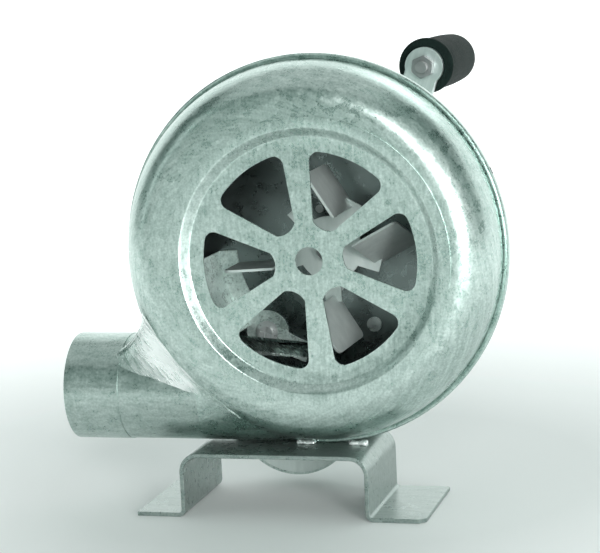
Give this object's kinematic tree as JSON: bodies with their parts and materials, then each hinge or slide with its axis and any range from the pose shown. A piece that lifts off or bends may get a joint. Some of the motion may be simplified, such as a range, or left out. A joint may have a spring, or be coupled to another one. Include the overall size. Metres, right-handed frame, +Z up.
{
  "type": "hand-crank forge blower",
  "caption": "Hand-cranked sheet-metal forge blower: round casing with a windowed intake grille, tangential outlet tube, strip stand, geared crank with grip.",
  "frame": {"origin": "middle of the whole object's bounding box at the height of the feet", "axes": "+Z up, +Y from the intake grille to the crank, +X to the right seen from the intake; the outlet tube points along -X"},
  "size_m": [0.2116, 0.1724, 0.2157],
  "materials": {
    "galvanised": "bright galvanised sheet with fine spangle",
    "galvanised_grille": "galvanised sheet with fine vertical brushing",
    "galvanised_inner": "galvanised sheet, duller",
    "braze": "wiped solder and zinc, rough",
    "zinc_hardware": "zinc plated",
    "crank_steel": "zinc plated flat bar",
    "shaft_steel": "turned steel",
    "gear_steel": "cut steel with grease",
    "bush_bronze": "sintered bronze",
    "black_grip": "satin black moulded"
  },
  "bodies": {
    "casing": {"front_shell": "galvanised", "rear_shell": "galvanised", "intake_grille": "galvanised_grille", "outlet_tube": "galvanised", "outlet_braze": "braze", "stand": "galvanised", "stand_welds": "braze", "tongue_strip": "galvanised", "tongue_screw": "zinc_hardware", "tongue_nut": "zinc_hardware", "fan_bush_front": "bush_bronze", "fan_bush_rear": "bush_bronze", "lay_bush_front": "bush_bronze", "lay_bush_rear": "bush_bronze", "crank_bush": "bush_bronze", "gear_case_plate": "galvanised_inner", "gear_case_cover": "galvanised", "gear_case_screws": "zinc_hardware", "case_rivets": "zinc_hardware"},
    "crank": {"crank_shaft": "crank_steel", "crank_gear": "gear_steel", "crank_gear_clip": "zinc_hardware", "crank_arm": "crank_steel", "crank_washer": "zinc_hardware", "crank_nut": "zinc_hardware", "grip_bolt": "zinc_hardware", "grip_nut": "zinc_hardware", "grip_washer": "zinc_hardware"},
    "grip": {"grip": "black_grip"},
    "lay": {"layshaft": "shaft_steel", "lay_gear": "gear_steel", "lay_pinion": "gear_steel"},
    "fan": {"fan_shaft": "shaft_steel", "fan_pinion": "gear_steel", "impeller": "galvanised_inner", "impeller_hub": "shaft_steel", "impeller_nut": "zinc_hardware"}
  },
  "joints": [
    {"name": "crank_turn", "type": "hinge", "parent": "casing", "child": "crank", "pos_m": [-0.00792, -0.0012, 0.03662], "axis": [0, 1, 0], "continuous": true},
    {"name": "grip_spin", "type": "hinge", "parent": "crank", "child": "grip", "pos_m": [0.05494, 0.0162, 0.20209], "axis": [0, 1, 0], "continuous": true},
    {"name": "lay_turn", "type": "hinge", "parent": "casing", "child": "lay", "pos_m": [0.00246, -0.0162, 0.07015], "axis": [0, 1, 0], "continuous": true},
    {"name": "fan_turn", "type": "hinge", "parent": "casing", "child": "fan", "pos_m": [0.0182, -0.0262, 0.121], "axis": [0, 1, 0], "continuous": true}
  ],
  "couplings": [
    {"joint": "lay_turn", "follows": "crank_turn", "ratio": -3.6667},
    {"joint": "fan_turn", "follows": "crank_turn", "ratio": 22.306}
  ]
}
